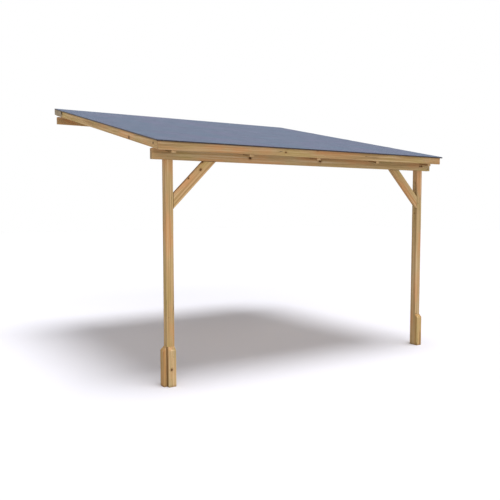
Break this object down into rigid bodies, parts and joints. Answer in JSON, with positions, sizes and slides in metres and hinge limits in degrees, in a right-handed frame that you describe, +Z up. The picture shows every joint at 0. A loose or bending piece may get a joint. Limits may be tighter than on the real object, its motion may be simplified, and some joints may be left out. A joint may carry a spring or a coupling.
{
  "type": "lean-to gazebo",
  "caption": "Open timber lean-to shelter: front posts with braces and a beam carry a felted single-slope roof whose rafters rest on a plate bolted to a wall.",
  "frame": {"origin": "centre of the wall plate's back face, on the wall plane", "axes": "+X along the wall, +Y into the wall, +Z up"},
  "size_m": [3.496, 3.2061, 2.8464],
  "materials": {
    "frame_timber": "planed, pressure-treated softwood",
    "roof_boards": "planed tongued and grooved softwood",
    "mineral_felt": "matt blue-grey mineral granules on bitumen",
    "zinc_fixings": "dull zinc plate"
  },
  "bodies": {
    "root": {"wall_plate": "frame_timber", "front_beam": "frame_timber", "post_left": "frame_timber", "post_right": "frame_timber", "foot_board_left_front": "frame_timber", "foot_board_left_outer": "frame_timber", "foot_board_right_front": "frame_timber", "foot_board_right_outer": "frame_timber", "brace_left": "frame_timber", "brace_right": "frame_timber", "rafter_1": "frame_timber", "rafter_2": "frame_timber", "rafter_3": "frame_timber", "rafter_4": "frame_timber", "rafter_5": "frame_timber", "front_fascia": "frame_timber", "barge_board_left": "frame_timber", "barge_board_right": "frame_timber", "roof_deck": "roof_boards", "felt_strip_1": "mineral_felt", "felt_strip_2": "mineral_felt", "felt_strip_3": "mineral_felt", "felt_strip_4": "mineral_felt"}
  },
  "joints": []
}
